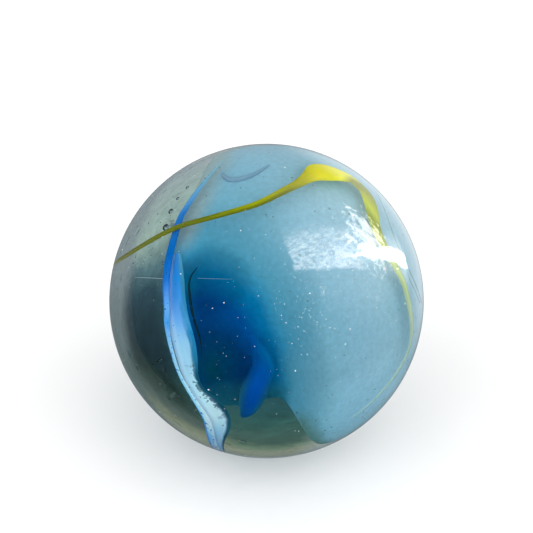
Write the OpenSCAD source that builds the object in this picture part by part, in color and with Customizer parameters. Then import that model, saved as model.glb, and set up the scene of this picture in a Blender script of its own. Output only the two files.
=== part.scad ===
// Glass playing marble: a clear ball with streaks of coloured glass fused into it.
//
// The streaks lie round the show face, whose middle looks to the front (-Y) and face_tilt
// degrees above level. A place on the ball is [around, clock]: how many degrees round the
// ball from the middle of the show face, and which way to go from there, with 0 to the
// right, 90 up, 180 to the left and 270 down. The origin is the centre of the ball.
// The streaks lie in layers, each below the one before it: the yellow ribbon, the cobalt
// edge, the sky strip and the milky veil, with the cobalt hook over the veil's fold.

/* [Ball] */
// Diameter of the ball
ball_d = 16; // [12:0.5:25]
// How far above level the show face looks, in degrees
face_tilt = 30; // [0:5:60]

/* [Layers] */
// Clear glass over the yellow ribbon, the outermost streak
skin = 0.15; // [0.1:0.05:0.4]
// Clear glass between one streak and the next one below it
layer_gap = 0.06; // [0.04:0.02:0.2]

/* [Yellow ribbon] */
// Width of the yellow ribbon where it is widest
ribbon_w = 1.6; // [0.8:0.1:2.4]
// Thickness of the yellow ribbon
ribbon_t = 0.25; // [0.15:0.05:0.4]

/* [Cobalt edge] */
// Width of the cobalt edge
edge_w = 0.7; // [0.4:0.1:1.2]
// Thickness of the cobalt edge
edge_t = 0.3; // [0.15:0.05:0.4]

/* [Sky strip] */
// Width of the sky strip where it is widest
strip_w = 1.9; // [0.8:0.1:2.4]
// Thickness of the sky strip
strip_t = 0.25; // [0.15:0.05:0.4]

/* [Milky veil] */
// Thickness of the veil
veil_t = 0.4; // [0.2:0.05:0.6]
// How much deeper the floor of the veil's fold lies than the rest of the veil
fold_depth = 2.9; // [2.2:0.1:3.2]

/* [Cobalt hook] */
// Width of the cobalt hook where it is widest
hook_w = 1.6; // [0.8:0.1:1.8]
// Thickness of the cobalt hook
hook_t = 0.5; // [0.2:0.05:0.6]
// Clear glass between the cobalt hook and the floor of the fold
hook_gap = 0.5; // [0.3:0.1:0.8]

/* [Seeds] */
// Diameter of the largest seed, a gas bubble
seed_d = 0.4; // [0.2:0.05:0.6]

/* [Hidden] */

ball_r = ball_d / 2;

// Depth of the outer face of each streak below the surface of the ball
edge_depth = skin + ribbon_t + layer_gap;
strip_depth = edge_depth + edge_t + layer_gap;
veil_depth = strip_depth + strip_t + layer_gap;
hook_depth = veil_depth + fold_depth - hook_gap - hook_t;

// Places in a streak's path are [around, clock, share of its full width].
ribbon_path = [
    [112, 172, 0.05], [92, 168, 0.14], [74, 165, 0.17], [63, 161, 0.18], [52, 152, 0.19],
    [44, 140, 0.19], [38, 128, 0.19], [35, 114, 0.20], [35, 98, 0.22], [38, 88, 0.25],
    [42, 81, 0.28], [47, 75, 0.33], [53, 71, 0.50], [58, 68, 0.90], [62, 64, 0.95],
    [65, 59, 0.75], [67, 55, 0.62], [66, 51, 0.58], [65, 47, 0.62], [60, 42, 0.62],
    [56, 38, 0.55], [53, 33, 0.46], [52, 25, 0.40], [54, 16, 0.32], [58, 7, 0.28],
    [60, 1, 0.30], [63, -5, 0.30], [67, -12, 0.27], [69, -20, 0.24], [67, -29, 0.20],
    [65, -37, 0.16], [64, -46, 0.12], [63, -54, 0.05]];
edge_path = [
    [70, 106, 0.1], [64, 110, 0.2], [57, 117, 0.35], [54, 122, 0.4], [50, 130, 0.5],
    [48, 136, 0.55], [44, 145, 0.6], [41, 157, 0.65], [39, 170, 0.6], [38, 185, 0.55],
    [39, 192, 0.45], [40, 200, 0.35], [42, 211, 0.3], [45, 221, 0.3], [49, 233, 0.35],
    [53, 240, 0.5], [57, 244, 0.6], [64, 247, 0.65], [72, 249, 0.65], [80, 251, 0.6],
    [93, 253, 0.4], [106, 255, 0.15]];
strip_path = [
    [40, 152, 0.2], [38, 159, 0.4], [36, 169, 0.55], [35, 182, 0.6], [35, 195, 0.67],
    [36, 207, 0.7], [39, 217, 0.62], [42, 223, 0.5], [46, 232, 0.42], [48, 239, 0.6],
    [51, 245, 0.76], [57, 249, 0.64], [66, 250, 0.45], [76, 251, 0.35], [88, 253, 0.3],
    [104, 255, 0.1]];
hook_path = [
    [19, 245, 0.1], [23, 256, 0.3], [27, 263, 0.45], [31, 266, 0.55], [36, 267, 0.62],
    [41, 265, 0.66], [46, 263, 0.7], [51, 262, 0.72], [58, 261, 0.62], [66, 260, 0.4],
    [71, 258, 0.12]];

// Places in the veil are [around, clock, fold], with fold 0 in its outer part and 1 on the
// floor of its fold. The rows run from the top of the face to its bottom,
// each from left to right.
veil_net = [
    [[84, 109, 0], [86, 101, 0], [88, 91, 0], [90, 81, 0], [91, 69, 0], [92, 56, 0],
        [93, 44, 0]],
    [[60, 122, 0], [57, 109, 0], [54, 92, 0], [55, 74, 0], [61, 60, 0], [70, 48, 0],
        [90, 38, 0]],
    [[51, 139, 0], [45, 127, 0], [37, 106, 0], [37, 77, 0], [45, 54, 0], [60, 40, 0],
        [91, 31, 0]],
    [[42, 162, 0], [35, 154, 0.3], [23, 129, 0.6], [17, 70, 0.3], [27, 29, 0], [50, 18, 0],
        [92, 14, 0]],
    [[52, 189, 0.6], [44, 193, 1], [22, 207, 1], [12, 304, 0.9], [23, 341, 0], [47, 350, 0],
        [92, 357, 0]],
    [[63, 211, 0.8], [58, 223, 1], [40, 247, 1], [38, 289, 0.95], [40, 309, 0],
        [58, 327, 0], [92, 340, 0]],
    [[71, 231, 0.6], [75, 246, 0.8], [72, 261, 0.9], [61, 280, 0.8], [82, 290, 0],
        [91, 306, 0], [92, 325, 0]]];

// Places of the seeds are [around, clock, share of seed_d].
seed_places = [[51, 144, 1], [55, 137, 0.8], [58, 131, 0.5], [60, 125, 0.5]];

path_steps = 2;     // rings for each place in a path
net_steps = 4;      // rows and columns of facets for each place in the veil's net
path_sides = 10;    // sides of a streak's section
rim_share = 0.4;    // thickness of the veil's rim, as a share of veil_t
least_share = 0.02; // no streak is narrower than this share of its width

// A place as a point one away from the centre, with its third value kept
function spot(p) = [sin(p[0]) * cos(p[1]), -cos(p[0]), sin(p[0]) * sin(p[1]), p[2]];
function spots(list) = [for (p = list) spot(p)];
function point(s) = [s[0], s[1], s[2]];
function unit(v) = v / norm(v);
function limit(x, low, high) = min(max(x, low), high);

// A smooth curve through a list of points, or a smooth net through a list of rows
function near_item(list, i) = list[limit(i, 0, len(list) - 1)];
function between(a, b, c, d, t) =
    (b * 2 + (c - a) * t + (a * 2 - b * 5 + c * 4 - d) * t * t
        + (b * 3 - a - c * 3 + d) * t * t * t) / 2;
function smooth(list, steps) = [
    for (i = [0 : len(list) - 2], s = [0 : steps - 1])
        between(near_item(list, i - 1), list[i], list[i + 1], near_item(list, i + 2), s / steps),
    list[len(list) - 1]];

// Two triangles for the face between points a, b, c and d
function two(a, b, c, d) = [[a, b, c], [a, c, d]];

// A flat streak with an oval section, bent to the ball
module streak(path, w, t, depth) {
    line = smooth(spots(path), path_steps);
    last = len(line) - 1;
    r = ball_r - depth - t / 2;
    rings = [for (i = [0 : last])
        let (
            mid = unit(point(line[i])),
            along = point(near_item(line, i + 1)) - point(near_item(line, i - 1)),
            side = unit(cross(along, mid)),
            width = w * max(line[i][3], least_share),
            thick = min(t, width))
        for (k = [0 : path_sides - 1])
            let (
                a = 360 * k / path_sides,
                turn = cos(a) * width / 2 / r * 180 / PI)
            (r + sin(a) * thick / 2) * (cos(turn) * mid + sin(turn) * side)];
    tips = [for (i = [0, last]) r * unit(point(line[i]))];
    first_tip = len(rings);
    faces = [
        for (i = [0 : last - 1], k = [0 : path_sides - 1])
            let (a = i * path_sides + k, b = i * path_sides + (k + 1) % path_sides)
            each two(a, b, b + path_sides, a + path_sides),
        for (k = [0 : path_sides - 1])
            let (next = (k + 1) % path_sides, end = last * path_sides)
            each [[first_tip, next, k], [first_tip + 1, end + k, end + next]]];
    polyhedron(concat(rings, tips), faces, convexity = 6);
}

// The veil: one curved sheet with a thinned rim
module veil() {
    net = smooth([for (row = veil_net) smooth(spots(row), net_steps)], net_steps);
    rows = len(net);
    cols = len(net[0]);
    size = rows * cols;
    // Points of the outer face (inner = 0) or of the inner face (inner = 1)
    function sheet(inner) = [for (i = [0 : rows - 1], j = [0 : cols - 1])
        let (
            rim = i == 0 || j == 0 || i == rows - 1 || j == cols - 1,
            thick = rim ? veil_t * rim_share : veil_t,
            middle = ball_r - veil_depth - veil_t / 2 - limit(net[i][j][3], 0, 1) * fold_depth)
        (middle + (0.5 - inner) * thick) * unit(point(net[i][j]))];
    border = concat(
        [for (j = [0 : cols - 2]) j],
        [for (i = [0 : rows - 2]) i * cols + cols - 1],
        [for (j = [cols - 1 : -1 : 1]) (rows - 1) * cols + j],
        [for (i = [rows - 1 : -1 : 1]) i * cols]);
    faces = [
        for (i = [0 : rows - 2], j = [0 : cols - 2])
            let (a = i * cols + j)
            each concat(
                two(a, a + 1, a + cols + 1, a + cols),
                two(size + a, size + a + cols, size + a + cols + 1, size + a + 1)),
        for (k = [0 : len(border) - 1])
            let (a = border[k], b = border[(k + 1) % len(border)])
            each two(a, size + a, size + b, b)];
    polyhedron(concat(sheet(0), sheet(1)), faces, convexity = 8);
}

// Gas bubbles in the clear glass over the cobalt edge's layer
module seeds() {
    for (p = seed_places)
        translate((ball_r - edge_depth - seed_d / 2) * point(spot(p)))
            sphere(d = seed_d * p[2], $fn = 24);
}

module on_face() {
    rotate([-face_tilt, 0, 0]) children();
}

module yellow_ribbon() {
    color("gold") on_face() streak(ribbon_path, ribbon_w, ribbon_t, skin);
}

module cobalt_edge() {
    color("royalblue") on_face() streak(edge_path, edge_w, edge_t, edge_depth);
}

module sky_strip() {
    color("lightskyblue") on_face() streak(strip_path, strip_w, strip_t, strip_depth);
}

module milky_veil() {
    color("skyblue") on_face() veil();
}

module cobalt_hook() {
    color("mediumblue") on_face() streak(hook_path, hook_w, hook_t, hook_depth);
}

module clear_glass() {
    color([0.75, 0.86, 0.86, 0.3])
        difference() {
            sphere(r = ball_r, $fn = 96);
            yellow_ribbon();
            cobalt_edge();
            sky_strip();
            milky_veil();
            cobalt_hook();
            on_face() seeds();
        }
}

clear_glass();
yellow_ribbon();
cobalt_edge();
sky_strip();
milky_veil();
cobalt_hook();
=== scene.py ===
import math
import random

import bpy
from mathutils import Matrix, Vector


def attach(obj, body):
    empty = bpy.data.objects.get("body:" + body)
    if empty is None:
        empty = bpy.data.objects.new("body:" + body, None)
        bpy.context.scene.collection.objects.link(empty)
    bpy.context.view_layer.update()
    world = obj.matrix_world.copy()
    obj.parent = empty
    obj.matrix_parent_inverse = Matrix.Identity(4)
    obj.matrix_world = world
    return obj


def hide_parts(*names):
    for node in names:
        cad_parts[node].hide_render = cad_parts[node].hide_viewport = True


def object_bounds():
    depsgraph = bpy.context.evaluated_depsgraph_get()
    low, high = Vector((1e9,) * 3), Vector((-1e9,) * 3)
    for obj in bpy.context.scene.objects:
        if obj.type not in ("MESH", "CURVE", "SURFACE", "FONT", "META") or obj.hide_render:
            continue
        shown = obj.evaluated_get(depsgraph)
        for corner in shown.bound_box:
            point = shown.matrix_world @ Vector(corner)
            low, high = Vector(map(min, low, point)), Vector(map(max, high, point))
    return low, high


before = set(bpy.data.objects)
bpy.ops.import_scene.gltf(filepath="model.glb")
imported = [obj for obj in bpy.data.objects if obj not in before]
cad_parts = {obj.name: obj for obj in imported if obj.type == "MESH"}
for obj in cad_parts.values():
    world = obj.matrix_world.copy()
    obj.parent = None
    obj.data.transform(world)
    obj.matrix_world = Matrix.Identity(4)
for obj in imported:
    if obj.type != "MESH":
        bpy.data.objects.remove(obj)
cad_box = [list(corner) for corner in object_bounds()]

# THE BALL'S OWN FRAME
# The marble is a ball about the origin. Its show face, with the coloured streaks, looks to the
# front and a little up, and every place on it is given as seen by someone who faces it.
ball_r = (cad_box[1][2] - cad_box[0][2]) / 2
mm = 0.001
face_tilt = math.radians(30)
face_right = Vector((1, 0, 0))
face_up = Vector((0, math.sin(face_tilt), math.cos(face_tilt)))
face_out = Vector((0, -math.cos(face_tilt), math.sin(face_tilt)))


def on_face(right, up, out):
    """A direction or place from its parts along the show face's own three axes."""
    return face_right * right + face_up * up + face_out * out


def in_glass(around, clock, depth):
    """The place that lies so many degrees round the ball from the middle of the show face, at a
    clock angle (0 right, 90 up), and so deep below the surface."""
    around, clock = math.radians(around), math.radians(clock)
    side = math.sin(around)
    return on_face(side * math.cos(clock), side * math.sin(clock), math.cos(around)) * (ball_r - depth)


# CAMERA
# It looks square on to the show face from close by, and a little above the ball's middle, so that
# the ball fills about three fifths of the frame's width.
lens = 100
sensor = 36
ball_share = 0.59  # of the frame's width
ball_drop = 0.064  # how far the ball's middle lies below the frame's, in frame widths
spread = ball_share * sensor / 2 / lens
distance = ball_r * math.sqrt(1 + 1 / spread**2)

camera = bpy.data.objects.new("camera", bpy.data.cameras.new("camera"))
bpy.context.collection.objects.link(camera)
camera.data.lens = lens
camera.data.sensor_width = sensor
camera.data.clip_start = ball_r / 10
camera.location = face_out * distance
aim = face_up * (ball_drop * distance * sensor / lens)
camera.rotation_euler = (aim - camera.location).to_track_quat("-Z", "Y").to_euler()
bpy.context.scene.camera = camera
bpy.context.scene.view_settings.view_transform = "Standard"

# FLOOR
# A white laminate table top, wide enough to fill the view, that the ball stands on. The polish on
# the glass doesn't mirror it, so the deep colours in the ball stay deep.
floor_size = 3.0
floor_white = "F0F0F0"
grain = 0.6 * mm


def linear(code):
    """The linear colour of an sRGB hex code, with full alpha."""
    parts = [int(code[i:i + 2], 16) / 255 for i in (0, 2, 4)]
    return (*[p / 12.92 if p <= 0.04045 else ((p + 0.055) / 1.055) ** 2.4 for p in parts], 1)


def add_node(tree, kind, inputs=None, stops=None, **settings):
    """Adds a shader node. Inputs are values, hex colours or other nodes' outputs, by socket name or
    number, and stops are the places and hex colours of a colour ramp."""
    new = tree.nodes.new("ShaderNode" + kind)
    for name, value in settings.items():
        setattr(new, name, value)
    for name, value in (inputs or {}).items():
        if isinstance(value, bpy.types.NodeSocket):
            tree.links.new(value, new.inputs[name])
        else:
            new.inputs[name].default_value = linear(value) if isinstance(value, str) else value
    for i, (place, code) in enumerate(stops or []):
        stop = new.color_ramp.elements[i] if i < 2 else new.color_ramp.elements.new(place)
        stop.position = place
        stop.color = linear(code)
    return new


def new_material(name):
    """An empty node material, and its tree and output."""
    material = bpy.data.materials.new(name)
    material.use_nodes = True
    material.node_tree.nodes.clear()
    return material, material.node_tree, add_node(material.node_tree, "OutputMaterial")


bpy.ops.object.select_all(action="DESELECT")
bpy.ops.mesh.primitive_plane_add(size=floor_size, location=(0, 0, -ball_r))
floor = bpy.context.object
floor.name = "floor"
laminate, tree, output = new_material("White laminate, matt")
place = add_node(tree, "TexCoord").outputs["Object"]
specks = add_node(tree, "TexNoise", {"Vector": place, "Scale": 1 / grain, "Detail": 2.0})
board = add_node(tree, "BsdfDiffuse", {"Color": floor_white, "Roughness": specks.outputs[0]})
tree.links.new(board.outputs[0], output.inputs["Surface"])
floor.data.materials.append(laminate)
floor.visible_glossy = False

# LIGHT
# The even light of a pale room, and two wide soft lamps, one on each side above the camera. The
# polish doesn't mirror these: it shows a dimmer room with two glows in it, and the window.
lamp_distance = 0.3
room_light = "FFFFFF"
room_seen = "F4F4F4"
room_mirrored = [(0.0, "181C20"), (0.55, "30363A"), (0.8, "8A9296"), (1.0, "B0B6BA")]
# Glows on the polish: the direction, how near to it each starts and is full, and how bright it is
room_glows = [((0.75, 0.05, 0.66), 0.58, 0.97, 1.6), ((0.55, 0.83, -0.1), 0.84, 0.97, 0.9)]
room_inside = "A8B0B2"  # as light that is mirrored inside the ball meets it

world = bpy.data.worlds.new("room")
bpy.context.scene.world = world
world.use_nodes = True
tree = world.node_tree
ray = add_node(tree, "LightPath")
way = add_node(tree, "TexCoord").outputs["Generated"]
towards = add_node(tree, "SeparateXYZ", {0: way})
behind = add_node(tree, "MapRange", {"Value": towards.outputs["Y"], "From Min": -1.0})
mirrored = add_node(tree, "ValToRGB", {"Fac": behind.outputs[0]}, stops=room_mirrored)
below = add_node(tree, "MapRange", {"Value": towards.outputs["Z"], "From Min": -0.9, "From Max": 0.1,
                                    "To Min": 0.35})
polish = add_node(tree, "VectorMath", {0: mirrored.outputs[0], "Scale": below.outputs[0]},
                  operation="SCALE")
for direction, first, full, strength in room_glows:
    nearness = add_node(tree, "VectorMath", {0: way, 1: direction}, operation="DOT_PRODUCT")
    glow = add_node(tree, "MapRange", {"Value": nearness.outputs["Value"], "From Min": first,
                                       "From Max": full, "To Max": strength},
                    interpolation_type="SMOOTHSTEP")
    polish = add_node(tree, "VectorMath", {0: polish.outputs[0], 1: glow.outputs[0]}, operation="ADD")
turns = add_node(tree, "Math", {0: ray.outputs["Glossy Depth"], 1: ray.outputs["Diffuse Depth"]},
                 operation="SUBTRACT", use_clamp=True)
inside = add_node(tree, "Mix", {0: turns.outputs[0], 6: room_light, 7: room_inside}, data_type="RGBA")
bounced = add_node(tree, "Math", {0: ray.outputs["Is Glossy Ray"], 1: ray.outputs["Is Transmission Ray"]},
                   operation="SUBTRACT", use_clamp=True)
lit = add_node(tree, "Mix", {0: bounced.outputs[0], 6: inside.outputs[2], 7: polish.outputs[0]},
               data_type="RGBA")
seen = add_node(tree, "Mix", {0: ray.outputs["Is Camera Ray"], 6: lit.outputs[2], 7: room_seen},
                data_type="RGBA")
tree.links.new(seen.outputs[2], tree.nodes["Background"].inputs["Color"])


def face_the_ball(thing, direction, along):
    """Puts a flat thing at the lamps' distance in a direction, facing the ball, with its width along
    another direction."""
    back = direction.normalized()
    across = (along - back * along.dot(back)).normalized()
    turn = Matrix((across, back.cross(across), back)).transposed()
    thing.matrix_world = Matrix.Translation(back * lamp_distance) @ turn.to_4x4()


def soft_lamp(name, direction, size, level):
    """A wide square lamp that gives a white surface that faces it so much of full brightness."""
    data = bpy.data.lights.new(name, "AREA")
    data.shape = "SQUARE"
    data.size = size
    data.energy = level * math.pi**2 * lamp_distance**2
    lamp = bpy.data.objects.new(name, data)
    bpy.context.collection.objects.link(lamp)
    face_the_ball(lamp, direction, Vector((1, 0, 0)))
    lamp.visible_glossy = False
    lamp.visible_transmission = False


soft_lamp("soft_lamp_right", Vector((0.5, -0.45, 0.75)), 0.25, 0.3)
soft_lamp("soft_lamp_left", Vector((-0.6, -0.5, 0.62)), 0.25, 0.25)

# WINDOW
# A window to the right, most of it behind a net curtain. It is seen only as a glint on the polish:
# a cloudy patch for the curtain, ragged white where the net is gathered, and a hard white wedge
# for the open part.
net_white = "FFF4F2"
net_weave = 0.09  # between folds, in half widths of the pane
# Where the curtained patch starts and is full: at its left, right, foot and top, from the pane's
# middle, in half widths and half heights of it
patch_sides = ((-0.29, -0.26), (0.6, 0.25))
patch_ends = ((-0.32, -0.27), (0.45, 0.08))


def window_pane(name, direction, along, width, height):
    """A flat see-through stage piece that shines only in the polish of the glass, with its width and
    height taken from its middle. Returns its node tree and output, its place, and how far across
    and up the pane a point lies, as shares of these, each moved a little by fine noise."""
    bpy.ops.object.select_all(action="DESELECT")
    bpy.ops.mesh.primitive_plane_add(size=2)
    pane = bpy.context.object
    pane.name = name
    face_the_ball(pane, direction, along)
    pane.scale = (width, height, 1)
    for kind in ("camera", "diffuse", "transmission", "shadow"):
        setattr(pane, "visible_" + kind, False)
    material, tree, output = new_material(name.replace("_", " ") + ", daylight")
    material.cycles.emission_sampling = "NONE"
    pane.data.materials.append(material)
    place = add_node(tree, "TexCoord").outputs["Object"]
    cloud = add_node(tree, "TexNoise", {"Vector": place, "Scale": 9.0, "Detail": 6.0, "Roughness": 0.7})
    ragged = add_node(tree, "VectorMath", {0: cloud.outputs["Color"], 1: (0.5, 0.5, 0.5)},
                      operation="SUBTRACT")
    moved = add_node(tree, "VectorMath", {0: ragged.outputs[0], 1: (0.1, 0.18, 0), 2: place},
                     operation="MULTIPLY_ADD")
    spot = add_node(tree, "SeparateXYZ", {0: moved.outputs[0]})
    return tree, output, place, spot.outputs["X"], spot.outputs["Y"]


def shine(tree, output, colour, strength):
    """Gives a pane its light, and lets what is behind it show through."""
    light = add_node(tree, "Emission", {"Color": colour, "Strength": strength})
    through = add_node(tree, "BsdfTransparent")
    both = add_node(tree, "AddShader", {0: light.outputs[0], 1: through.outputs[0]})
    tree.links.new(both.outputs[0], output.inputs["Surface"])


tree, output, place, across, upward = window_pane(
    "curtained_window", Vector((0.57, -0.24, 0.79)), Vector((0.54, 0.46, -0.31)), 0.42, 0.24)
inside = 1.0
for share, borders in ((across, patch_sides), (upward, patch_ends)):
    for start, full in borders:
        border = add_node(tree, "MapRange", {"Value": share, "From Min": start, "From Max": full},
                          interpolation_type="SMOOTHSTEP")
        inside = add_node(tree, "Math", {0: inside, 1: border.outputs[0]}, operation="MULTIPLY").outputs[0]
folds = add_node(tree, "TexNoise", {"Vector": place, "Scale": 1 / net_weave, "Detail": 3.0,
                                    "Roughness": 0.6, "Distortion": 1.5})
fold_light = add_node(tree, "MapRange", {"Value": folds.outputs[0], "From Min": 0.42, "From Max": 0.58,
                                         "To Min": 2.5, "To Max": 9.0})
patch = add_node(tree, "Math", {0: inside, 1: fold_light.outputs[0]}, operation="MULTIPLY")
shine(tree, output, net_white, patch.outputs[0])

tree, output, place, across, upward = window_pane(
    "gathered_net", Vector((0.85, 0.16, 0.52)), Vector((0.25, 0.6, -0.5)), 0.22, 0.22)
tufts = add_node(tree, "TexNoise", {"Vector": place, "Scale": 6.0, "Detail": 6.0, "Roughness": 0.75})
middle = add_node(tree, "CombineXYZ", {0: across, 1: upward})
off = add_node(tree, "VectorMath", {0: middle.outputs[0], 1: (0.25, 0.08, 0)}, operation="DISTANCE")
fade = add_node(tree, "MapRange", {"Value": off.outputs["Value"], "From Min": 0.75, "From Max": 0.1,
                                   "To Min": -0.1, "To Max": 0.18})
bright = add_node(tree, "Math", {0: tufts.outputs[0], 1: fade.outputs[0]}, operation="ADD")
tuft_light = add_node(tree, "MapRange", {"Value": bright.outputs[0], "From Min": 0.54, "From Max": 0.68,
                                         "To Max": 11.0}, interpolation_type="SMOOTHSTEP")
shine(tree, output, net_white, tuft_light.outputs[0])

tree, output, place, across, upward = window_pane(
    "open_window", Vector((0.92, 0.25, 0.29)), Vector((-0.01, 0.72, -0.65)), 0.38, 0.14)
half = add_node(tree, "MapRange", {"Value": across, "From Min": -0.52, "From Max": 0.15,
                                   "To Max": 0.15})
middle = add_node(tree, "Math", {0: upward, 1: 0.04}, operation="SUBTRACT")
off = add_node(tree, "Math", {0: middle.outputs[0]}, operation="ABSOLUTE")
reach = add_node(tree, "Math", {0: half.outputs[0], 1: off.outputs[0]}, operation="SUBTRACT")
wedge = add_node(tree, "MapRange", {"Value": reach.outputs[0], "From Max": 0.06, "To Max": 20.0},
                 interpolation_type="SMOOTHSTEP")
around = add_node(tree, "MapRange", {"Value": reach.outputs[0], "From Min": -0.3, "From Max": 0.0,
                                     "To Max": 2.5})
frame_side = add_node(tree, "MapRange", {"Value": across, "From Min": 0.56, "From Max": 0.46})
both = add_node(tree, "Math", {0: wedge.outputs[0], 1: around.outputs[0]}, operation="ADD")
light = add_node(tree, "Math", {0: both.outputs[0], 1: frame_side.outputs[0]}, operation="MULTIPLY")
shine(tree, output, "FFFFFF", light.outputs[0])

# CURLED CARD
# Clear glass shows its form against something dark, so a grey card is curled round behind the ball: a foot
# on the table, and a low wall that is darkest about a quarter of the way up. It is not lit but glows with
# its own light, so its greys and greens are painted light and shade as seen through the clear glass. Only
# light that has gone through the glass meets it.
card_r = 12.5 * mm
card_foot = 6.5 * mm
card_height = 10 * mm
card_span = (25, 150)  # from right of the ball round behind it, in degrees
# Its greys, and the greens of its middle, by how many mm up the wall a place lies, or out on the
# foot where that is below 0
card_greys = [(-5.0, "BCC6CC"), (-2.3, "B4C8C0"), (-1.1, "BCD0C4"), (0.1, "688890"), (0.9, "3C5663"),
              (1.6, "2E424C"), (2.4, "24353E"), (3.1, "2A3C35"), (3.8, "4A5C54"), (4.6, "68766E"),
              (5.6, "93997A"), (7.0, "B4B69A")]
card_greens = [(-5.0, "D0D4E0"), (0.5, "2A5058"), (2.4, "3A666A"), (3.3, "446E68"), (4.2, "4A6E64"),
               (5.0, "4A685C"), (5.8, "7A9478"), (7.0, "B4B69A")]

bpy.ops.object.select_all(action="DESELECT")
bpy.ops.mesh.primitive_cylinder_add(vertices=144, radius=card_r, depth=card_height,
                                    end_fill_type="NOTHING",
                                    location=(0, 0, card_height / 2 - ball_r + 0.02 * mm))
card = bpy.context.object
card.name = "curled_card"
bpy.ops.object.transform_apply(location=True, rotation=True, scale=True)


def clear_selection(kind):
    """Deselects all of the active mesh, ready for faces or edges to be selected by their place."""
    bpy.ops.object.mode_set(mode="EDIT")
    bpy.ops.mesh.select_mode(type=kind)
    bpy.ops.mesh.select_all(action="DESELECT")
    bpy.ops.object.mode_set(mode="OBJECT")


clear_selection("FACE")
for face in card.data.polygons:
    angle = math.degrees(math.atan2(face.center.y, face.center.x))
    face.select = not card_span[0] < angle < card_span[1]
bpy.ops.object.mode_set(mode="EDIT")
bpy.ops.mesh.delete(type="FACE")
bpy.ops.object.mode_set(mode="OBJECT")
clear_selection("EDGE")
for line in card.data.edges:
    line.select = all(card.data.vertices[i].co.z < -ball_r + mm for i in line.vertices)
bpy.ops.object.mode_set(mode="EDIT")
bpy.ops.mesh.extrude_edges_move()
bpy.ops.transform.resize(value=(card_foot / card_r, card_foot / card_r, 1), center_override=(0, 0, 0))
bpy.ops.object.mode_set(mode="OBJECT")

glowing_card, tree, output = new_material("Grey card, glowing in a painted gradient")
glowing_card.cycles.emission_sampling = "NONE"
place = add_node(tree, "TexCoord").outputs["Object"]
cloud = add_node(tree, "TexNoise", {"Vector": place, "Scale": 1 / (3 * mm), "Detail": 4.0})
ragged = add_node(tree, "VectorMath", {0: cloud.outputs["Color"], 1: (0.5, 0.5, 0.5)},
                  operation="SUBTRACT")
moved = add_node(tree, "VectorMath", {0: ragged.outputs[0], 1: (2 * mm,) * 3, 2: place},
                 operation="MULTIPLY_ADD")
spot = add_node(tree, "SeparateXYZ", {0: moved.outputs[0]})
flat = add_node(tree, "CombineXYZ", {0: spot.outputs["X"], 1: spot.outputs["Y"]})
radius = add_node(tree, "VectorMath", {0: flat.outputs[0]}, operation="LENGTH")
height = add_node(tree, "Math", {0: spot.outputs["Z"], 1: radius.outputs["Value"]}, operation="ADD")
low, high = card_greys[0][0], card_greys[-1][0]
up_card = add_node(tree, "MapRange", {"Value": height.outputs[0], "From Min": card_r - ball_r + low * mm,
                                      "From Max": card_r - ball_r + high * mm})
grey, green = [add_node(tree, "ValToRGB", {"Fac": up_card.outputs[0]},
                        stops=[((up - low) / (high - low), code) for up, code in codes])
               for codes in (card_greys, card_greens)]
turned = add_node(tree, "Math", {0: spot.outputs["Y"], 1: spot.outputs["X"]}, operation="ARCTAN2")
right_end = add_node(tree, "MapRange", {"Value": turned.outputs[0], "From Min": math.radians(73),
                                        "From Max": math.radians(63)}, interpolation_type="SMOOTHSTEP")
centre = add_node(tree, "MapRange", {"Value": turned.outputs[0], "From Min": math.radians(82),
                                     "From Max": math.radians(87)}, interpolation_type="SMOOTHSTEP")
tinted = add_node(tree, "Mix", {0: centre.outputs[0], 6: grey.outputs[0], 7: green.outputs[0]},
                  data_type="RGBA")
end_grey = add_node(tree, "ValToRGB", {"Fac": up_card.outputs[0]},
                    stops=[(0.45, "9AA4A8"), (0.65, "7E8A8C"), (0.8, "5A6A64")])
paler = add_node(tree, "Mix", {0: right_end.outputs[0], 6: tinted.outputs[2], 7: end_grey.outputs[0]},
                 data_type="RGBA")
left_end = add_node(tree, "MapRange", {"Value": turned.outputs[0], "From Min": math.radians(94),
                                       "From Max": math.radians(103)}, interpolation_type="SMOOTHSTEP")
palest = add_node(tree, "Mix", {0: left_end.outputs[0], 6: paler.outputs[2], 7: "DCE8EA"},
                  data_type="RGBA")
mottle = add_node(tree, "TexNoise", {"Vector": place, "Scale": 1 / (0.4 * mm), "Detail": 5.0,
                                     "Roughness": 0.7})
level = add_node(tree, "MapRange", {"Value": mottle.outputs[0], "From Min": 0.3, "From Max": 0.7,
                                    "To Min": 0.78, "To Max": 1.22})
# The card glows with its own light: painted light and shade, not a lit surface.
screen = add_node(tree, "Emission", {"Color": palest.outputs[2], "Strength": level.outputs[0]})
tree.links.new(screen.outputs[0], output.inputs["Surface"])
card.data.materials.append(glowing_card)
for kind in ("camera", "diffuse", "glossy", "shadow"):
    setattr(card, "visible_" + kind, False)

# MILKY VEIL
# A thin sheet of pale-blue opal glass that was folded into the gob while it was soft. It is milky where it
# lies flat under the skin, and a deep clear blue down in its fold, a blue that is partly painted shade of
# the fold.
fold_middle = face_right * -2.0 * mm + face_up * -2.6 * mm
fold_lean = math.radians(12)
fold_length = 1.62  # how much longer the dark is than it is wide
fold_reach = 8 * mm
# The darkest of these blues, about the fold, are partly the deep blue of the glass and partly painted
# shade.
veil_blues = [(0.0, "00465C"), (0.11, "003E73"), (0.2, "00539C"), (0.25, "0069A5"), (0.3, "067BAF"),
              (0.36, "3996BC"), (0.41, "54A1BE"), (0.47, "61A6C0"), (0.53, "6CABC3"), (0.64, "79AEC3"),
              (0.74, "82B3C8"), (0.85, "8AB7CB"), (1.0, "96C0D2")]
fold_mouth = "1E6878"
greener = (1.0, 1.5, 1.12)  # how the blue turns to teal left of the fold
# Painted shade: the veil's blue is darkened to about three quarters in a round patch about this middle.
dome = face_right * -2.2 * mm + face_up * 0.9 * mm  # the middle of a rounded dark edge above the fold
dome_painted_shade = 0.76
thin_grey = "92A8A8"  # where the veil thins out at its upper left border
thin_green = "56807A"  # and at its lower one
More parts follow.
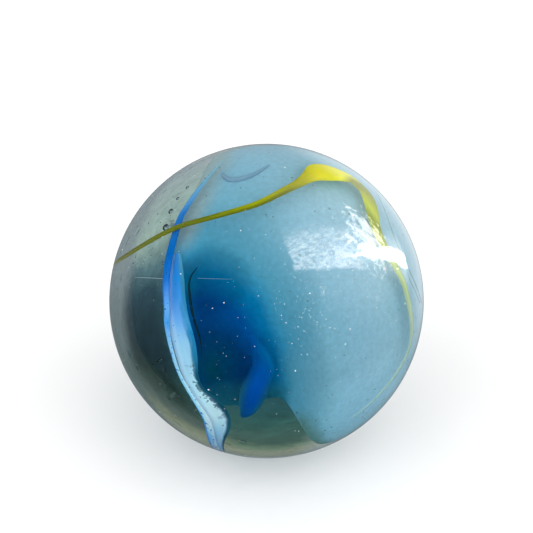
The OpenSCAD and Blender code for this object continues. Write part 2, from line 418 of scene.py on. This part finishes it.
# Soft-edged zones of the veil: directions on the face, and how far that way each starts and is full
# Painted light: right of and below the fold the veil turns paler sooner, making up for the shade that the
# fold's wall casts there.
fold_wall_lit_zone = [(face_right, 0.1 * mm, 1.0 * mm), (face_up, -1.4 * mm, -2.6 * mm)]
left_zone = [(face_right, -2.6 * mm, -3.3 * mm), (face_up, 1.3 * mm, 0.2 * mm)]
mouth_zone = [(face_up, -2.9 * mm, -3.9 * mm)]
upper_border = [(face_right * 0.916 - face_up * 0.4, -3.5 * mm, -4.5 * mm),
                (face_up, 1.8 * mm, 3.2 * mm)]
lower_border = [(face_right, 0.2 * mm, 1.0 * mm), (face_up, -4.1 * mm, -4.9 * mm),
                (face_right * 0.8 + face_up * 0.6, -1.2 * mm, -2.0 * mm)]
lower_right = face_right * 0.5 - face_up * 0.87
milk_reach = 0.25 * mm  # how far light wanders inside the opaque glasses
glass_loss = 1.25  # how much paler the milky glass is than it looks through the clear glass
streak_loss = 1.35  # and the opaque glasses of the streaks


def smooth_copy(node, name):
    """A copy of a coloured glass's solid, with its points merged, that stands for it."""
    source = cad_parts[node]
    piece = bpy.data.objects.new(name, source.data.copy())
    bpy.context.collection.objects.link(piece)
    piece.data.materials.clear()
    bpy.ops.object.select_all(action="DESELECT")
    piece.select_set(True)
    bpy.context.view_layer.objects.active = piece
    bpy.ops.object.mode_set(mode="EDIT")
    bpy.ops.mesh.select_all(action="SELECT")
    bpy.ops.mesh.remove_doubles(threshold=0.001 * mm)
    bpy.ops.object.mode_set(mode="OBJECT")
    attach(piece, "root")
    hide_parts(node)
    return piece


def round_off(piece, levels):
    """Joins a piece's triangles to quads, and rounds it by subdivision."""
    bpy.ops.object.select_all(action="DESELECT")
    piece.select_set(True)
    bpy.context.view_layer.objects.active = piece
    bpy.ops.object.mode_set(mode="EDIT")
    bpy.ops.mesh.select_all(action="SELECT")
    bpy.ops.mesh.tris_convert_to_quads(face_threshold=math.radians(60), shape_threshold=math.radians(60))
    bpy.ops.object.mode_set(mode="OBJECT")
    bpy.ops.object.modifier_add(type="SUBSURF")
    piece.modifiers["Subdivision"].levels = levels
    piece.modifiers["Subdivision"].render_levels = levels
    bpy.ops.object.modifier_apply(modifier="Subdivision")
    bpy.ops.object.shade_smooth()


def add_oval(tree, place, middle, wide, tall):
    """How far a point lies from a middle as seen from the front, in an oval with these two axes."""
    off = add_node(tree, "VectorMath", {0: place, 1: middle}, operation="SUBTRACT")
    off_wide = add_node(tree, "VectorMath", {0: off.outputs[0], 1: wide}, operation="DOT_PRODUCT")
    off_tall = add_node(tree, "VectorMath", {0: off.outputs[0], 1: tall}, operation="DOT_PRODUCT")
    flat = add_node(tree, "CombineXYZ", {0: off_wide.outputs["Value"], 1: off_tall.outputs["Value"]})
    return add_node(tree, "VectorMath", {0: flat.outputs[0]}, operation="LENGTH").outputs["Value"]


def add_zone(tree, place, borders, most=1.0):
    """How far a point lies inside a soft-edged zone of the show face, from 0 to most."""
    inside = most
    for direction, start, full in borders:
        off = add_node(tree, "VectorMath", {0: place, 1: direction}, operation="DOT_PRODUCT")
        border = add_node(tree, "MapRange", {"Value": off.outputs["Value"], "From Min": start,
                                             "From Max": full}, interpolation_type="SMOOTHSTEP")
        inside = add_node(tree, "Math", {0: inside, 1: border.outputs[0]}, operation="MULTIPLY").outputs[0]
    return inside


def add_fold_blue(tree):
    """The colour of the milky glass: dark in a leaning oval about the fold, partly its deep blue and
    partly painted shade, and paler away from it, with soft uneven borders, as glass that flowed. A round
    patch above the fold is darkened with painted shade, and a zone right of and below the fold is
    lightened with painted light."""
    place = add_node(tree, "TexCoord").outputs["Object"]
    cloud = add_node(tree, "TexNoise", {"Vector": place, "Scale": 1 / (3 * mm), "Detail": 4.0,
                                        "Distortion": 0.4})
    ragged = add_node(tree, "VectorMath", {0: cloud.outputs["Color"], 1: (0.5, 0.5, 0.5)},
                      operation="SUBTRACT")
    moved = add_node(tree, "VectorMath", {0: ragged.outputs[0], 1: (1.0 * mm,) * 3, 2: place},
                     operation="MULTIPLY_ADD").outputs[0]
    wide = face_right * math.cos(fold_lean) + face_up * math.sin(fold_lean)
    tall = (face_up * math.cos(fold_lean) - face_right * math.sin(fold_lean)) / fold_length
    far = add_oval(tree, moved, fold_middle, wide, tall)
    # Painted light right of and below the fold, against the shade of the fold's wall.
    wall_painted_light = add_zone(tree, moved, fold_wall_lit_zone, 0.055)
    share = add_node(tree, "Math", {0: far, 1: 1 / fold_reach, 2: wall_painted_light}, operation="MULTIPLY_ADD")
    blue = add_node(tree, "ValToRGB", {"Fac": share.outputs[0]}, stops=veil_blues)
    teal = add_node(tree, "VectorMath", {0: blue.outputs[0], 1: greener}, operation="MULTIPLY")
    left = add_zone(tree, moved, left_zone)
    turned = add_node(tree, "Mix", {0: left, 6: blue.outputs[0], 7: teal.outputs[0]}, data_type="RGBA")
    deep = add_node(tree, "MapRange", {"Value": share.outputs[0], "From Min": 0.42, "From Max": 0.32},
                    interpolation_type="SMOOTHSTEP")
    low = add_zone(tree, moved, mouth_zone)
    mouth = add_node(tree, "Math", {0: low, 1: deep.outputs[0]}, operation="MULTIPLY")
    colour = add_node(tree, "Mix", {0: mouth.outputs[0], 6: turned.outputs[2], 7: fold_mouth},
                      data_type="RGBA")
    for borders, most, thin in ((upper_border, 0.8, thin_grey), (lower_border, 1.0, thin_green)):
        thinned = add_zone(tree, moved, borders, most)
        colour = add_node(tree, "Mix", {0: thinned, 6: colour.outputs[2], 7: thin}, data_type="RGBA")
    # Painted shade in a round patch above the fold.
    span = add_oval(tree, moved, dome, face_right, face_up)
    dim = add_node(tree, "MapRange", {"Value": span, "From Min": 1.1 * mm, "From Max": 1.8 * mm,
                                      "To Min": dome_painted_shade}, interpolation_type="SMOOTHSTEP")
    lowest = add_node(tree, "VectorMath", {0: moved, 1: lower_right}, operation="DOT_PRODUCT")
    lift = add_node(tree, "MapRange", {"Value": lowest.outputs["Value"], "From Min": 4.4 * mm,
                                       "From Max": 6.2 * mm, "To Min": 1.0, "To Max": 1.35})
    level = add_node(tree, "Math", {0: dim.outputs[0], 1: lift.outputs[0]}, operation="MULTIPLY")
    return add_node(tree, "VectorMath", {0: colour.outputs[2], "Scale": level.outputs[0]},
                    operation="SCALE").outputs[0]


veil = smooth_copy("milky_veil", "veil")
round_off(veil, 2)
opal, tree, output = new_material("Opal glass, pale blue, folded in hot")
place = add_node(tree, "TexCoord").outputs["Object"]
curds = add_node(tree, "TexNoise", {"Vector": place, "Scale": 1 / (0.22 * mm), "Detail": 3.0})
shade = add_node(tree, "MapRange", {"Value": curds.outputs[0], "From Min": 0.3, "From Max": 0.7,
                                    "To Min": 0.93 * glass_loss, "To Max": 1.07 * glass_loss})
milky = add_node(tree, "VectorMath", {0: add_fold_blue(tree), "Scale": shade.outputs[0]},
                 operation="SCALE")
glass = add_node(tree, "BsdfPrincipled", {"Base Color": milky.outputs[0], "Roughness": 0.5,
                                          "Specular IOR Level": 0.0})
tree.links.new(glass.outputs[0], output.inputs["Surface"])
veil.data.materials.append(opal)


def measure_streak(piece, start):
    """Gives a streak a UV map: how far along it a point lies from its tip nearest to start, and how
    far across it. Rings of points follow each other from one tip of a streak to the other."""
    mesh = piece.data
    linked = [set() for _ in mesh.vertices]
    for edge in mesh.edges:
        a, b = edge.vertices
        linked[a].add(b)
        linked[b].add(a)
    busiest = max(len(l) for l in linked)
    tips = [i for i, l in enumerate(linked) if len(l) == busiest]
    rings = [{min(tips, key=lambda i: (mesh.vertices[i].co - start).length)}]
    seen = set(rings[0])
    while rings[-1]:
        rings.append({n for i in rings[-1] for n in linked[i]} - seen)
        seen |= rings[-1]
    rings.pop()
    middles = [sum((mesh.vertices[i].co for i in ring), Vector()) / len(ring) for ring in rings]
    spots = {}
    for k, ring in enumerate(rings):
        ahead = middles[min(k + 1, len(rings) - 1)] - middles[max(k - 1, 0)]
        side = ahead.cross(middles[k]).normalized()
        reach = {i: (mesh.vertices[i].co - middles[k]).dot(side) for i in ring}
        widest = max(abs(r) for r in reach.values()) or 1
        for i in ring:
            spots[i] = (k / (len(rings) - 1), 0.5 + reach[i] / widest / 2)
    layer = mesh.uv_layers.new(name="streak")
    for loop in mesh.loops:
        layer.data[loop.index].uv = spots[loop.vertex_index]


def add_streak_place(tree, stretch):
    """How far along and across its streak a point lies, from 0 to 1, and noise drawn out along it,
    its stretch being how many threads there are along and across."""
    spot = add_node(tree, "UVMap", uv_map="streak").outputs[0]
    parts = add_node(tree, "SeparateXYZ", {0: spot})
    drawn = add_node(tree, "Mapping", {"Vector": spot, "Scale": (*stretch, 1)})
    threads = add_node(tree, "TexNoise", {"Vector": drawn.outputs[0], "Scale": 1.0, "Detail": 4.0})
    return parts.outputs["X"], parts.outputs["Y"], threads.outputs[0]


def finish_streak(piece, material, tree, output, colour, threads, contrast):
    """Lays a colour on a streak, with drawn-out threads lighter and darker in it."""
    shade = add_node(tree, "MapRange", {"Value": threads, "From Min": 0.3, "From Max": 0.7,
                                        "To Min": (1 - contrast) * streak_loss,
                                        "To Max": (1 + contrast) * streak_loss})
    final = add_node(tree, "VectorMath", {0: colour, "Scale": shade.outputs[0]}, operation="SCALE")
    glass = add_node(tree, "BsdfPrincipled", {"Base Color": final.outputs[0], "Roughness": 0.5,
                                              "Specular IOR Level": 0.0, "Subsurface Weight": 0.5,
                                              "Subsurface Radius": (1, 1, 1),
                                              "Subsurface Scale": milk_reach})
    tree.links.new(glass.outputs[0], output.inputs["Surface"])
    piece.data.materials.append(material)


# COBALT HOOK
# A short curl of dense cobalt glass that hangs over the floor of the veil's fold. Its top and sides melt
# into the deep blue of the veil, painted a quarter darker as shade, since the veil lies deeper and gets
# less light; its tip is clear cobalt.
hook = smooth_copy("cobalt_hook", "hook")
measure_streak(hook, in_glass(19, 245, 3 * mm))
round_off(hook, 2)
cobalt, tree, output = new_material("Cobalt glass, deep curl")
along, across, threads = add_streak_place(tree, (3, 5))
body = add_node(tree, "ValToRGB", {"Fac": along},
                stops=[(0.0, "0052A4"), (0.5, "0050A8"), (0.75, "004CA0"), (0.92, "0A5084"),
                       (1.0, "2A5A64")])
clear_of_veil = add_node(tree, "MapRange", {"Value": along, "From Min": 0.2, "From Max": 0.6},
                         interpolation_type="SMOOTHSTEP")
# Painted shade: the veil's blue darkened by a quarter, so the hook's nearer, better-lit top and sides
# don't stand out from the veil behind.
veil_blue_painted_shade = add_node(tree, "VectorMath", {0: add_fold_blue(tree), "Scale": 0.75}, operation="SCALE")
melted = add_node(tree, "Mix", {0: clear_of_veil.outputs[0], 6: veil_blue_painted_shade.outputs[0],
                                7: body.outputs[0]}, data_type="RGBA")
one_side = add_node(tree, "MapRange", {"Value": across, "From Min": 0.4, "From Max": 0.0, "To Max": 0.9},
                    interpolation_type="SMOOTHSTEP")
other_side = add_node(tree, "MapRange", {"Value": across, "From Min": 0.6, "From Max": 1.0, "To Max": 0.9},
                      interpolation_type="SMOOTHSTEP")
sides = add_node(tree, "Math", {0: one_side.outputs[0], 1: other_side.outputs[0]}, operation="ADD")
softened = add_node(tree, "Mix", {0: sides.outputs[0], 6: melted.outputs[2], 7: veil_blue_painted_shade.outputs[0]},
                    data_type="RGBA")
finish_streak(hook, cobalt, tree, output, softened.outputs[2], threads, 0.05)

# SKY STRIP
# A strip of opaque sky-blue glass beside the cobalt edge. Its lower half is nearly white, partly its own
# pale blue and partly painted light: the glow of light that the ball focuses there, made paler still at
# its foot where less light reaches. Its side under the cobalt edge is painted paler as light, to hide the
# shade in the crevice between them. Its inner side thins out into the veil above, and is ragged with dark
# smears below.
strip = smooth_copy("sky_strip", "strip")
measure_streak(strip, in_glass(42, 150, 0.8 * mm))
round_off(strip, 2)
sky, tree, output = new_material("Opaque sky-blue glass, smeared")
along, across, threads = add_streak_place(tree, (6, 3))
# The pale blues and near whites of its lower half are partly painted light, the glow of focused light, and
# paler at the foot to make up for less light there.
body = add_node(tree, "ValToRGB", {"Fac": along},
                stops=[(0.0, "4088B5"), (0.08, "2C78BC"), (0.14, "2280C6"), (0.2, "3C8ACC"),
                       (0.27, "66A4DC"), (0.34, "8CBEE0"), (0.44, "9CC8E2"), (0.55, "B6E0F2"),
                       (0.67, "BCE2F4"), (0.74, "A0CEF0"), (0.8, "9CCAF0"), (0.86, "90BCEC"),
                       (0.93, "94AAB8"), (1.0, "A3A6A7")])
right_side = add_node(tree, "ValToRGB", {"Fac": along},
                      stops=[(0.0, "5294B8"), (0.14, "3880A0"), (0.2, "2C7CA4"), (0.3, "2080B0"),
                             (0.45, "22708E"), (0.6, "145068"), (0.7, "24586C"), (0.85, "285C70")])
wander = add_node(tree, "MapRange", {"Value": threads, "From Min": 0.3, "From Max": 0.7, "To Min": -0.14,
                                     "To Max": 0.14})
side = add_node(tree, "Math", {0: across, 1: wander.outputs[0]}, operation="ADD")
thin = add_node(tree, "MapRange", {"Value": side.outputs[0], "From Min": 0.32, "From Max": 0.08},
                interpolation_type="SMOOTHSTEP")
melted = add_node(tree, "Mix", {0: thin.outputs[0], 6: body.outputs[0], 7: right_side.outputs[0]},
                  data_type="RGBA")
# Painted light: the side under the cobalt edge is paled, so the shade in the crevice between the two
# doesn't show.
outer = add_node(tree, "MapRange", {"Value": across, "From Min": 0.55, "From Max": 0.8,
                                    "To Max": 0.6}, interpolation_type="SMOOTHSTEP")
crevice_painted_light = add_node(tree, "ValToRGB", {"Fac": along}, stops=[(0.4, "B4D8FA"), (0.7, "DCF0FF")])
lined = add_node(tree, "Mix", {0: outer.outputs[0], 6: melted.outputs[2], 7: crevice_painted_light.outputs[0]},
                 data_type="RGBA")
spot = add_node(tree, "UVMap", uv_map="streak").outputs[0]
strokes = add_node(tree, "Mapping", {"Vector": spot, "Rotation": (0, 0, 0.12), "Scale": (60, 3, 1)})
smears = add_node(tree, "TexNoise", {"Vector": strokes.outputs[0], "Scale": 1.0, "Detail": 3.0,
                                     "Roughness": 0.6})
where = add_node(tree, "ValToRGB", {"Fac": along},
                 stops=[(0.4, "000000"), (0.48, "E0E0E0"), (0.64, "E0E0E0"), (0.72, "000000")])
right_half = add_node(tree, "MapRange", {"Value": across, "From Min": 0.62, "From Max": 0.1,
                                         "To Max": 0.3})
low_side = add_node(tree, "Math", {0: smears.outputs[0], 1: right_half.outputs[0]}, operation="ADD")
dark_smears = add_node(tree, "MapRange", {"Value": low_side.outputs[0], "From Min": 0.68,
                                          "From Max": 0.72})
smeared = add_node(tree, "Math", {0: dark_smears.outputs[0], 1: where.outputs[0]}, operation="MULTIPLY")
raked = add_node(tree, "Mix", {0: smeared.outputs[0], 6: lined.outputs[2], 7: "0C4254"}, data_type="RGBA")
finish_streak(strip, sky, tree, output, raked.outputs[2], threads, 0.06)

# COBALT EDGE
# A narrow streak of cobalt glass down the left side of the face. It is drawn so thin at its top that the
# blue grows faint, and it widens to a pale violet blue at its foot. The pale blues of its lower half are
# partly painted light, paler at the foot where less light reaches, and its side over the strip is painted
# paler still, to hide the shade in the crevice between them.
edge = smooth_copy("cobalt_edge", "edge")
measure_streak(edge, in_glass(84, 101, 0.5 * mm))
round_off(edge, 2)
drawn_cobalt, tree, output = new_material("Cobalt glass, drawn out")
along, across, threads = add_streak_place(tree, (8, 3))
# The pale blues of its lower half are partly painted light, made paler at the foot to make up for the
# weaker light there.
body = add_node(tree, "ValToRGB", {"Fac": along},
                stops=[(0.0, "78A0A8"), (0.1, "6496AA"), (0.18, "4A8CBA"), (0.24, "1468B0"),
                       (0.33, "0060AC"), (0.38, "1A6CBE"), (0.43, "64A4E4"), (0.48, "4896DA"),
                       (0.55, "84BCEC"), (0.65, "84C4E4"), (0.76, "B4DEF0"), (0.81, "70B2EA"),
                       (0.88, "9CC8F0"), (0.95, "A0A8B0")])
left_side = add_node(tree, "ValToRGB", {"Fac": along},
                     stops=[(0.0, "78A0A8"), (0.15, "3C88B8"), (0.25, "3C74AC"), (0.33, "0A5CB4"),
                            (0.4, "1466B4"), (0.48, "2268B0"), (0.55, "2A76C4"), (0.75, "3088CC"),
                            (0.85, "5080C0"), (0.95, "A0A8B0")])
wander = add_node(tree, "MapRange", {"Value": threads, "From Min": 0.35, "From Max": 0.65, "To Min": -0.2,
                                     "To Max": 0.2})
side = add_node(tree, "Math", {0: across, 1: wander.outputs[0]}, operation="ADD")
outer = add_node(tree, "MapRange", {"Value": side.outputs[0], "From Min": 0.6, "From Max": 0.9},
                 interpolation_type="SMOOTHSTEP")
lined = add_node(tree, "Mix", {0: outer.outputs[0], 6: body.outputs[0], 7: left_side.outputs[0]},
                 data_type="RGBA")
place = add_node(tree, "TexCoord").outputs["Object"]
grit = add_node(tree, "TexNoise", {"Vector": place, "Scale": 1 / (0.13 * mm), "Detail": 1.0})
speckle = add_node(tree, "MapRange", {"Value": grit.outputs[0], "From Min": 0.62, "From Max": 0.66})
low_part = add_node(tree, "MapRange", {"Value": along, "From Min": 0.45, "From Max": 0.6})
flecks = add_node(tree, "Math", {0: speckle.outputs[0], 1: low_part.outputs[0]}, operation="MULTIPLY")
# Painted light: the side over the strip is paled toward its foot, so the shade in the crevice between the
# edge and the strip doesn't show.
inner = add_node(tree, "MapRange", {"Value": across, "From Min": 0.4, "From Max": 0.1, "To Max": 0.6},
                 interpolation_type="SMOOTHSTEP")
foot = add_node(tree, "MapRange", {"Value": along, "From Min": 0.5, "From Max": 0.7})
over_strip = add_node(tree, "Math", {0: inner.outputs[0], 1: foot.outputs[0]}, operation="MULTIPLY")
edge_crevice_painted_light = add_node(tree, "Mix", {0: over_strip.outputs[0], 6: lined.outputs[2], 7: "CCE8FF"},
                 data_type="RGBA")
flecked = add_node(tree, "Mix", {0: flecks.outputs[0], 6: edge_crevice_painted_light.outputs[2], 7: "1E66C0"}, data_type="RGBA")
finish_streak(edge, drawn_cobalt, tree, output, flecked.outputs[2], threads, 0.08)

# YELLOW RIBBON
# An opaque yellow ribbon just under the skin, thin on the left, broad at its bend on the upper
# right, and thinned to an olive wash down the right side.
ribbon = smooth_copy("yellow_ribbon", "ribbon")
measure_streak(ribbon, in_glass(112, 172, 0.2 * mm))
round_off(ribbon, 2)
yellow, tree, output = new_material("Opaque yellow glass, thinning to olive")
along, across, threads = add_streak_place(tree, (14, 3))
slant = add_node(tree, "Math", {0: across, 1: 0.05, 2: along}, operation="MULTIPLY_ADD")
body = add_node(tree, "ValToRGB", {"Fac": slant.outputs[0]},
                stops=[(0.0, "A2A884"), (0.06, "788545"), (0.1, "525202"), (0.16, "5C6620"),
                       (0.22, "5C660C"), (0.29, "8C9202"), (0.35, "888600"), (0.39, "A09C00"),
                       (0.43, "C2BA00"), (0.5, "CECC00"), (0.54, "7A8206"), (0.58, "848A0C"),
                       (0.63, "AAB41C"), (0.66, "7E8A04"), (0.7, "92A024"), (0.75, "A8B870"),
                       (0.8, "A4B890"), (0.85, "A0B69C"), (0.92, "A2BEB4"), (1.0, "90B4B8")])
# Painted shade: the lower side of the thin part is darkened to olive, as shade under its rounded section.
lower = add_node(tree, "MapRange", {"Value": across, "From Min": 0.45, "From Max": 0.85},
                 interpolation_type="SMOOTHSTEP")
thin_part = add_node(tree, "MapRange", {"Value": along, "From Min": 0.4, "From Max": 0.3},
                     interpolation_type="SMOOTHSTEP")
under = add_node(tree, "Math", {0: lower.outputs[0], 1: thin_part.outputs[0]}, operation="MULTIPLY")
ribbon_painted_shade = add_node(tree, "Mix", {0: under.outputs[0], 6: body.outputs[0], 7: "666E10"}, data_type="RGBA")
finish_streak(ribbon, yellow, tree, output, ribbon_painted_shade.outputs[2], threads, 0.07)

# FINE THREADS
# Hairs of coloured glass that were drawn out as the gob was sheared: a faint blue arc at the top, and two
# teal ones near the right rim. A near-black line along the veil's fold, beside the strip, is drawn the
# same way as painted shadow: it stands for the shade at the strip's edge. Two light scratches in the skin,
# from play, are drawn the same way.
thread_depth = 1.12 * mm


def draw_thread(name, places, depth, widths, colours):
    """A hair of glass through places given as around and clock angles, with its widths in mm at its
    start, middle and end, and its colours in soft clouds."""
    curve = bpy.data.curves.new(name, "CURVE")
    curve.dimensions = "3D"
    curve.resolution_u = 8
    curve.bevel_depth = 0.5 * mm
    curve.bevel_resolution = 3
    curve.use_fill_caps = True
    spline = curve.splines.new("NURBS")
    spline.points.add(len(places) - 1)
    spline.use_endpoint_u = True
    spline.order_u = 3
    for i, (around, clock) in enumerate(places):
        share = i / (len(places) - 1)
        first, middle, last = widths
        width = (first + (middle - first) * share * 2 if share < 0.5
                 else middle + (last - middle) * (share * 2 - 1))
        spline.points[i].co = (*in_glass(around, clock, depth), 1)
        spline.points[i].radius = width
    thread = bpy.data.objects.new(name, curve)
    bpy.context.collection.objects.link(thread)
    bpy.ops.object.select_all(action="DESELECT")
    thread.select_set(True)
    bpy.context.view_layer.objects.active = thread
    bpy.ops.object.convert(target="MESH")
    bpy.ops.object.shade_smooth()
    material, tree, output = new_material("Coloured glass hair, " + name.replace("_", " "))
    place = add_node(tree, "TexCoord").outputs["Object"]
    cloud = add_node(tree, "TexNoise", {"Vector": place, "Scale": 1 / (0.8 * mm), "Detail": 2.0})
    body = add_node(tree, "ValToRGB", {"Fac": cloud.outputs[0]}, stops=colours)
    glass = add_node(tree, "BsdfPrincipled", {"Base Color": body.outputs[0], "Roughness": 0.5,
                                              "Specular IOR Level": 0.0})
    tree.links.new(glass.outputs[0], output.inputs["Surface"])
    thread.data.materials.append(material)
    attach(thread, "root")
    return thread


# Painted shadow: a near-black line for the shade beside the strip's edge.
draw_thread("fold_shadow_line", [(29.5, 154), (30.5, 159), (31, 166), (30, 174), (29, 190), (29, 205), (30, 213),
                          (34, 222)], thread_depth, (0.03, 0.15, 0.03),
            [(0.35, "0C2A30"), (0.65, "123C48")])
draw_thread("top_hair", [(61, 109), (57.5, 109), (54, 106), (53.5, 101), (55.5, 94), (61.5, 89)],
            thread_depth, (0.1, 0.4, 0.1), [(0.35, "7EAAC6"), (0.65, "8CB4CE")])
draw_thread("rim_hair_outer", [(77, 47), (71.5, 43), (67.5, 39), (61, 29), (60, 22), (62, 14), (67.5, 6),
                               (75, 359)], 0.1 * mm, (0.04, 0.07, 0.09),
            [(0.3, "3C8890"), (0.7, "78B0B8")])
draw_thread("rim_hair_inner", [(59.5, 21), (60, 13), (62.5, 7), (72, 359)], 0.1 * mm, (0.02, 0.06, 0.07),
            [(0.3, "4C9098"), (0.7, "88B8C0")])
draw_thread("scratch_left", [(53, 170), (45, 169), (38.5, 168)], 0.03 * mm, (0.01, 0.03, 0.01),
            [(0.3, "A8C4D4"), (0.7, "D8E8F0")])
draw_thread("scratch_middle", [(25, 162), (19.5, 158), (13.5, 148)], 0.03 * mm, (0.01, 0.02, 0.01),
            [(0.3, "7CA8BC"), (0.7, "A4C8D8")])

# CLEAR GLASS
# The ball itself: clear soda-lime glass, faintly green, rolled round while hot. It holds gas
# bubbles, called seeds: four large ones, and many as fine as dust just under the skin.
seed_d = 0.4 * mm
seed_depth = 0.46 * mm + seed_d / 2
seed_places = [(51, 144, 1.0), (55, 137, 0.8), (58, 131, 0.5), (60, 125, 0.5)]
fine_seeds = 900
fine_seed_d = (0.035 * mm, 0.1 * mm)

bpy.ops.object.select_all(action="DESELECT")
bpy.ops.mesh.primitive_ico_sphere_add(subdivisions=6, radius=ball_r)
ball = bpy.context.object
ball.name = "clear_ball"
bpy.ops.object.shade_smooth()
bubbles = []


def add_bubble(place, diameter, subdivisions):
    """A hollow in the glass: a small ball whose faces look inwards, a little squashed."""
    bpy.ops.mesh.primitive_ico_sphere_add(subdivisions=subdivisions, radius=diameter / 2, location=place)
    bubble = bpy.context.object
    bubble.scale = [random.uniform(0.8, 1.0) for _ in range(3)]
    bubble.rotation_euler = [random.uniform(0, math.pi) for _ in range(3)]
    bpy.ops.object.mode_set(mode="EDIT")
    bpy.ops.mesh.select_all(action="SELECT")
    bpy.ops.mesh.flip_normals()
    bpy.ops.object.mode_set(mode="OBJECT")
    bpy.ops.object.shade_smooth()
    bubbles.append(bubble)


random.seed(16)
for around, clock, size in seed_places:
    add_bubble(in_glass(around, clock, seed_depth), seed_d * size, 3)
add_bubble(in_glass(70, 150, seed_depth), fine_seed_d[1], 2)
big_bubbles = len(bubbles)
pattern = bubbles[-1].data
while len(bubbles) < big_bubbles + fine_seeds:
    way = Vector([random.gauss(0, 1) for _ in range(3)]).normalized()
    keep = 1.0 if way.dot(face_right) < -0.45 or way.dot(face_up) < -0.5 else 0.3
    if random.random() > keep:
        continue
    size = random.uniform(0, 1) ** 2 * (fine_seed_d[1] - fine_seed_d[0]) + fine_seed_d[0]
    fine = bpy.data.objects.new("fine_seed", pattern.copy())
    bpy.context.collection.objects.link(fine)
    fine.location = way * (ball_r - random.uniform(0.05, 0.16) * mm - size / 2)
    fine.scale = (size / fine_seed_d[1],) * 3
    bubbles.append(fine)
bpy.ops.object.select_all(action="DESELECT")
for bubble in bubbles:
    bubble.select_set(True)
ball.select_set(True)
bpy.context.view_layer.objects.active = ball
bpy.ops.object.join()

clear, tree, output = new_material("Soda-lime glass, faintly green, fire-polished")
place = add_node(tree, "TexCoord").outputs["Object"]
waves = add_node(tree, "TexNoise", {"Vector": place, "Scale": 1 / (2.5 * mm), "Detail": 3.0})
pits = add_node(tree, "TexVoronoi", {"Vector": place, "Scale": 1 / (0.35 * mm)})
pit = add_node(tree, "MapRange", {"Value": pits.outputs["Distance"], "From Min": 0.12, "From Max": 0.2})
relief = add_node(tree, "Math", {0: waves.outputs[0], 1: 3.0, 2: pit.outputs[0]}, operation="MULTIPLY_ADD")
bump = add_node(tree, "Bump", {"Height": relief.outputs[0], "Strength": 0.3, "Distance": 0.01 * mm})
smudge = add_node(tree, "MapRange", {"Value": waves.outputs[0], "From Min": 0.5, "From Max": 0.8,
                                     "To Max": 0.012})
glass = add_node(tree, "BsdfPrincipled", {"Base Color": "FFFFFF", "Roughness": smudge.outputs[0],
                                          "IOR": 1.52, "Transmission Weight": 1.0,
                                          "Normal": bump.outputs[0]})
through = add_node(tree, "BsdfTransparent")
shadow = add_node(tree, "LightPath").outputs["Is Shadow Ray"]
lit = add_node(tree, "MixShader", {0: shadow, 1: glass.outputs[0], 2: through.outputs[0]})
tree.links.new(lit.outputs[0], output.inputs["Surface"])
tint = add_node(tree, "VolumeAbsorption", {"Color": "AFC9C9", "Density": 55.0})
tree.links.new(tint.outputs[0], output.inputs["Volume"])
ball.data.materials.append(clear)
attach(ball, "root")
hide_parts("clear_glass")

# DUST AND WEAR
# Grains of dust and chalk-white chips that sit on the skin after play. Coarser ones are strewn
# over the whole ball, and finer ones lie on the right and the middle of the show face.
grains = 260
fine_grains = 420
grain_d = (0.03 * mm, 0.09 * mm)
fine_grain_d = (0.02 * mm, 0.05 * mm)
dusty_side = on_face(0.33, 0.05, 0.94)
random.seed(8)
bpy.ops.object.select_all(action="DESELECT")
bpy.ops.mesh.primitive_ico_sphere_add(subdivisions=1, radius=1)
first_grain = bpy.context.object
grain_mesh = first_grain.data
specks = []
while len(specks) < grains + fine_grains:
    way = Vector([random.gauss(0, 1) for _ in range(3)]).normalized()
    small, large = grain_d
    if len(specks) >= grains:
        way = (dusty_side + way * random.uniform(0, 0.55)).normalized()
        small, large = fine_grain_d
    size = random.uniform(0, 1) ** 3 * (large - small) + small
    speck = bpy.data.objects.new("grain", grain_mesh.copy())
    bpy.context.collection.objects.link(speck)
    speck.location = way * ball_r
    speck.rotation_euler = way.to_track_quat("Z", "Y").to_euler()
    speck.scale = (size / 2 * random.uniform(0.6, 1.6), size / 2, size / 5)
    specks.append(speck)
bpy.data.objects.remove(first_grain)
for speck in specks:
    speck.select_set(True)
bpy.context.view_layer.objects.active = specks[0]
bpy.ops.object.join()
dust = bpy.context.object
dust.name = "dust"
bpy.ops.object.transform_apply(location=True, rotation=True, scale=True)
chalk, tree, output = new_material("Dust, chalk white")
place = add_node(tree, "TexCoord").outputs["Object"]
cloud = add_node(tree, "TexNoise", {"Vector": place, "Scale": 1 / (1.5 * mm), "Detail": 1.0})
body = add_node(tree, "ValToRGB", {"Fac": cloud.outputs[0]}, stops=[(0.3, "B8D0DC"), (0.7, "F4F8FA")])
powder = add_node(tree, "BsdfPrincipled", {"Base Color": body.outputs[0], "Roughness": 0.9,
                                           "Specular IOR Level": 0.2})
tree.links.new(powder.outputs[0], output.inputs["Surface"])
dust.data.materials.append(chalk)
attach(dust, "root")
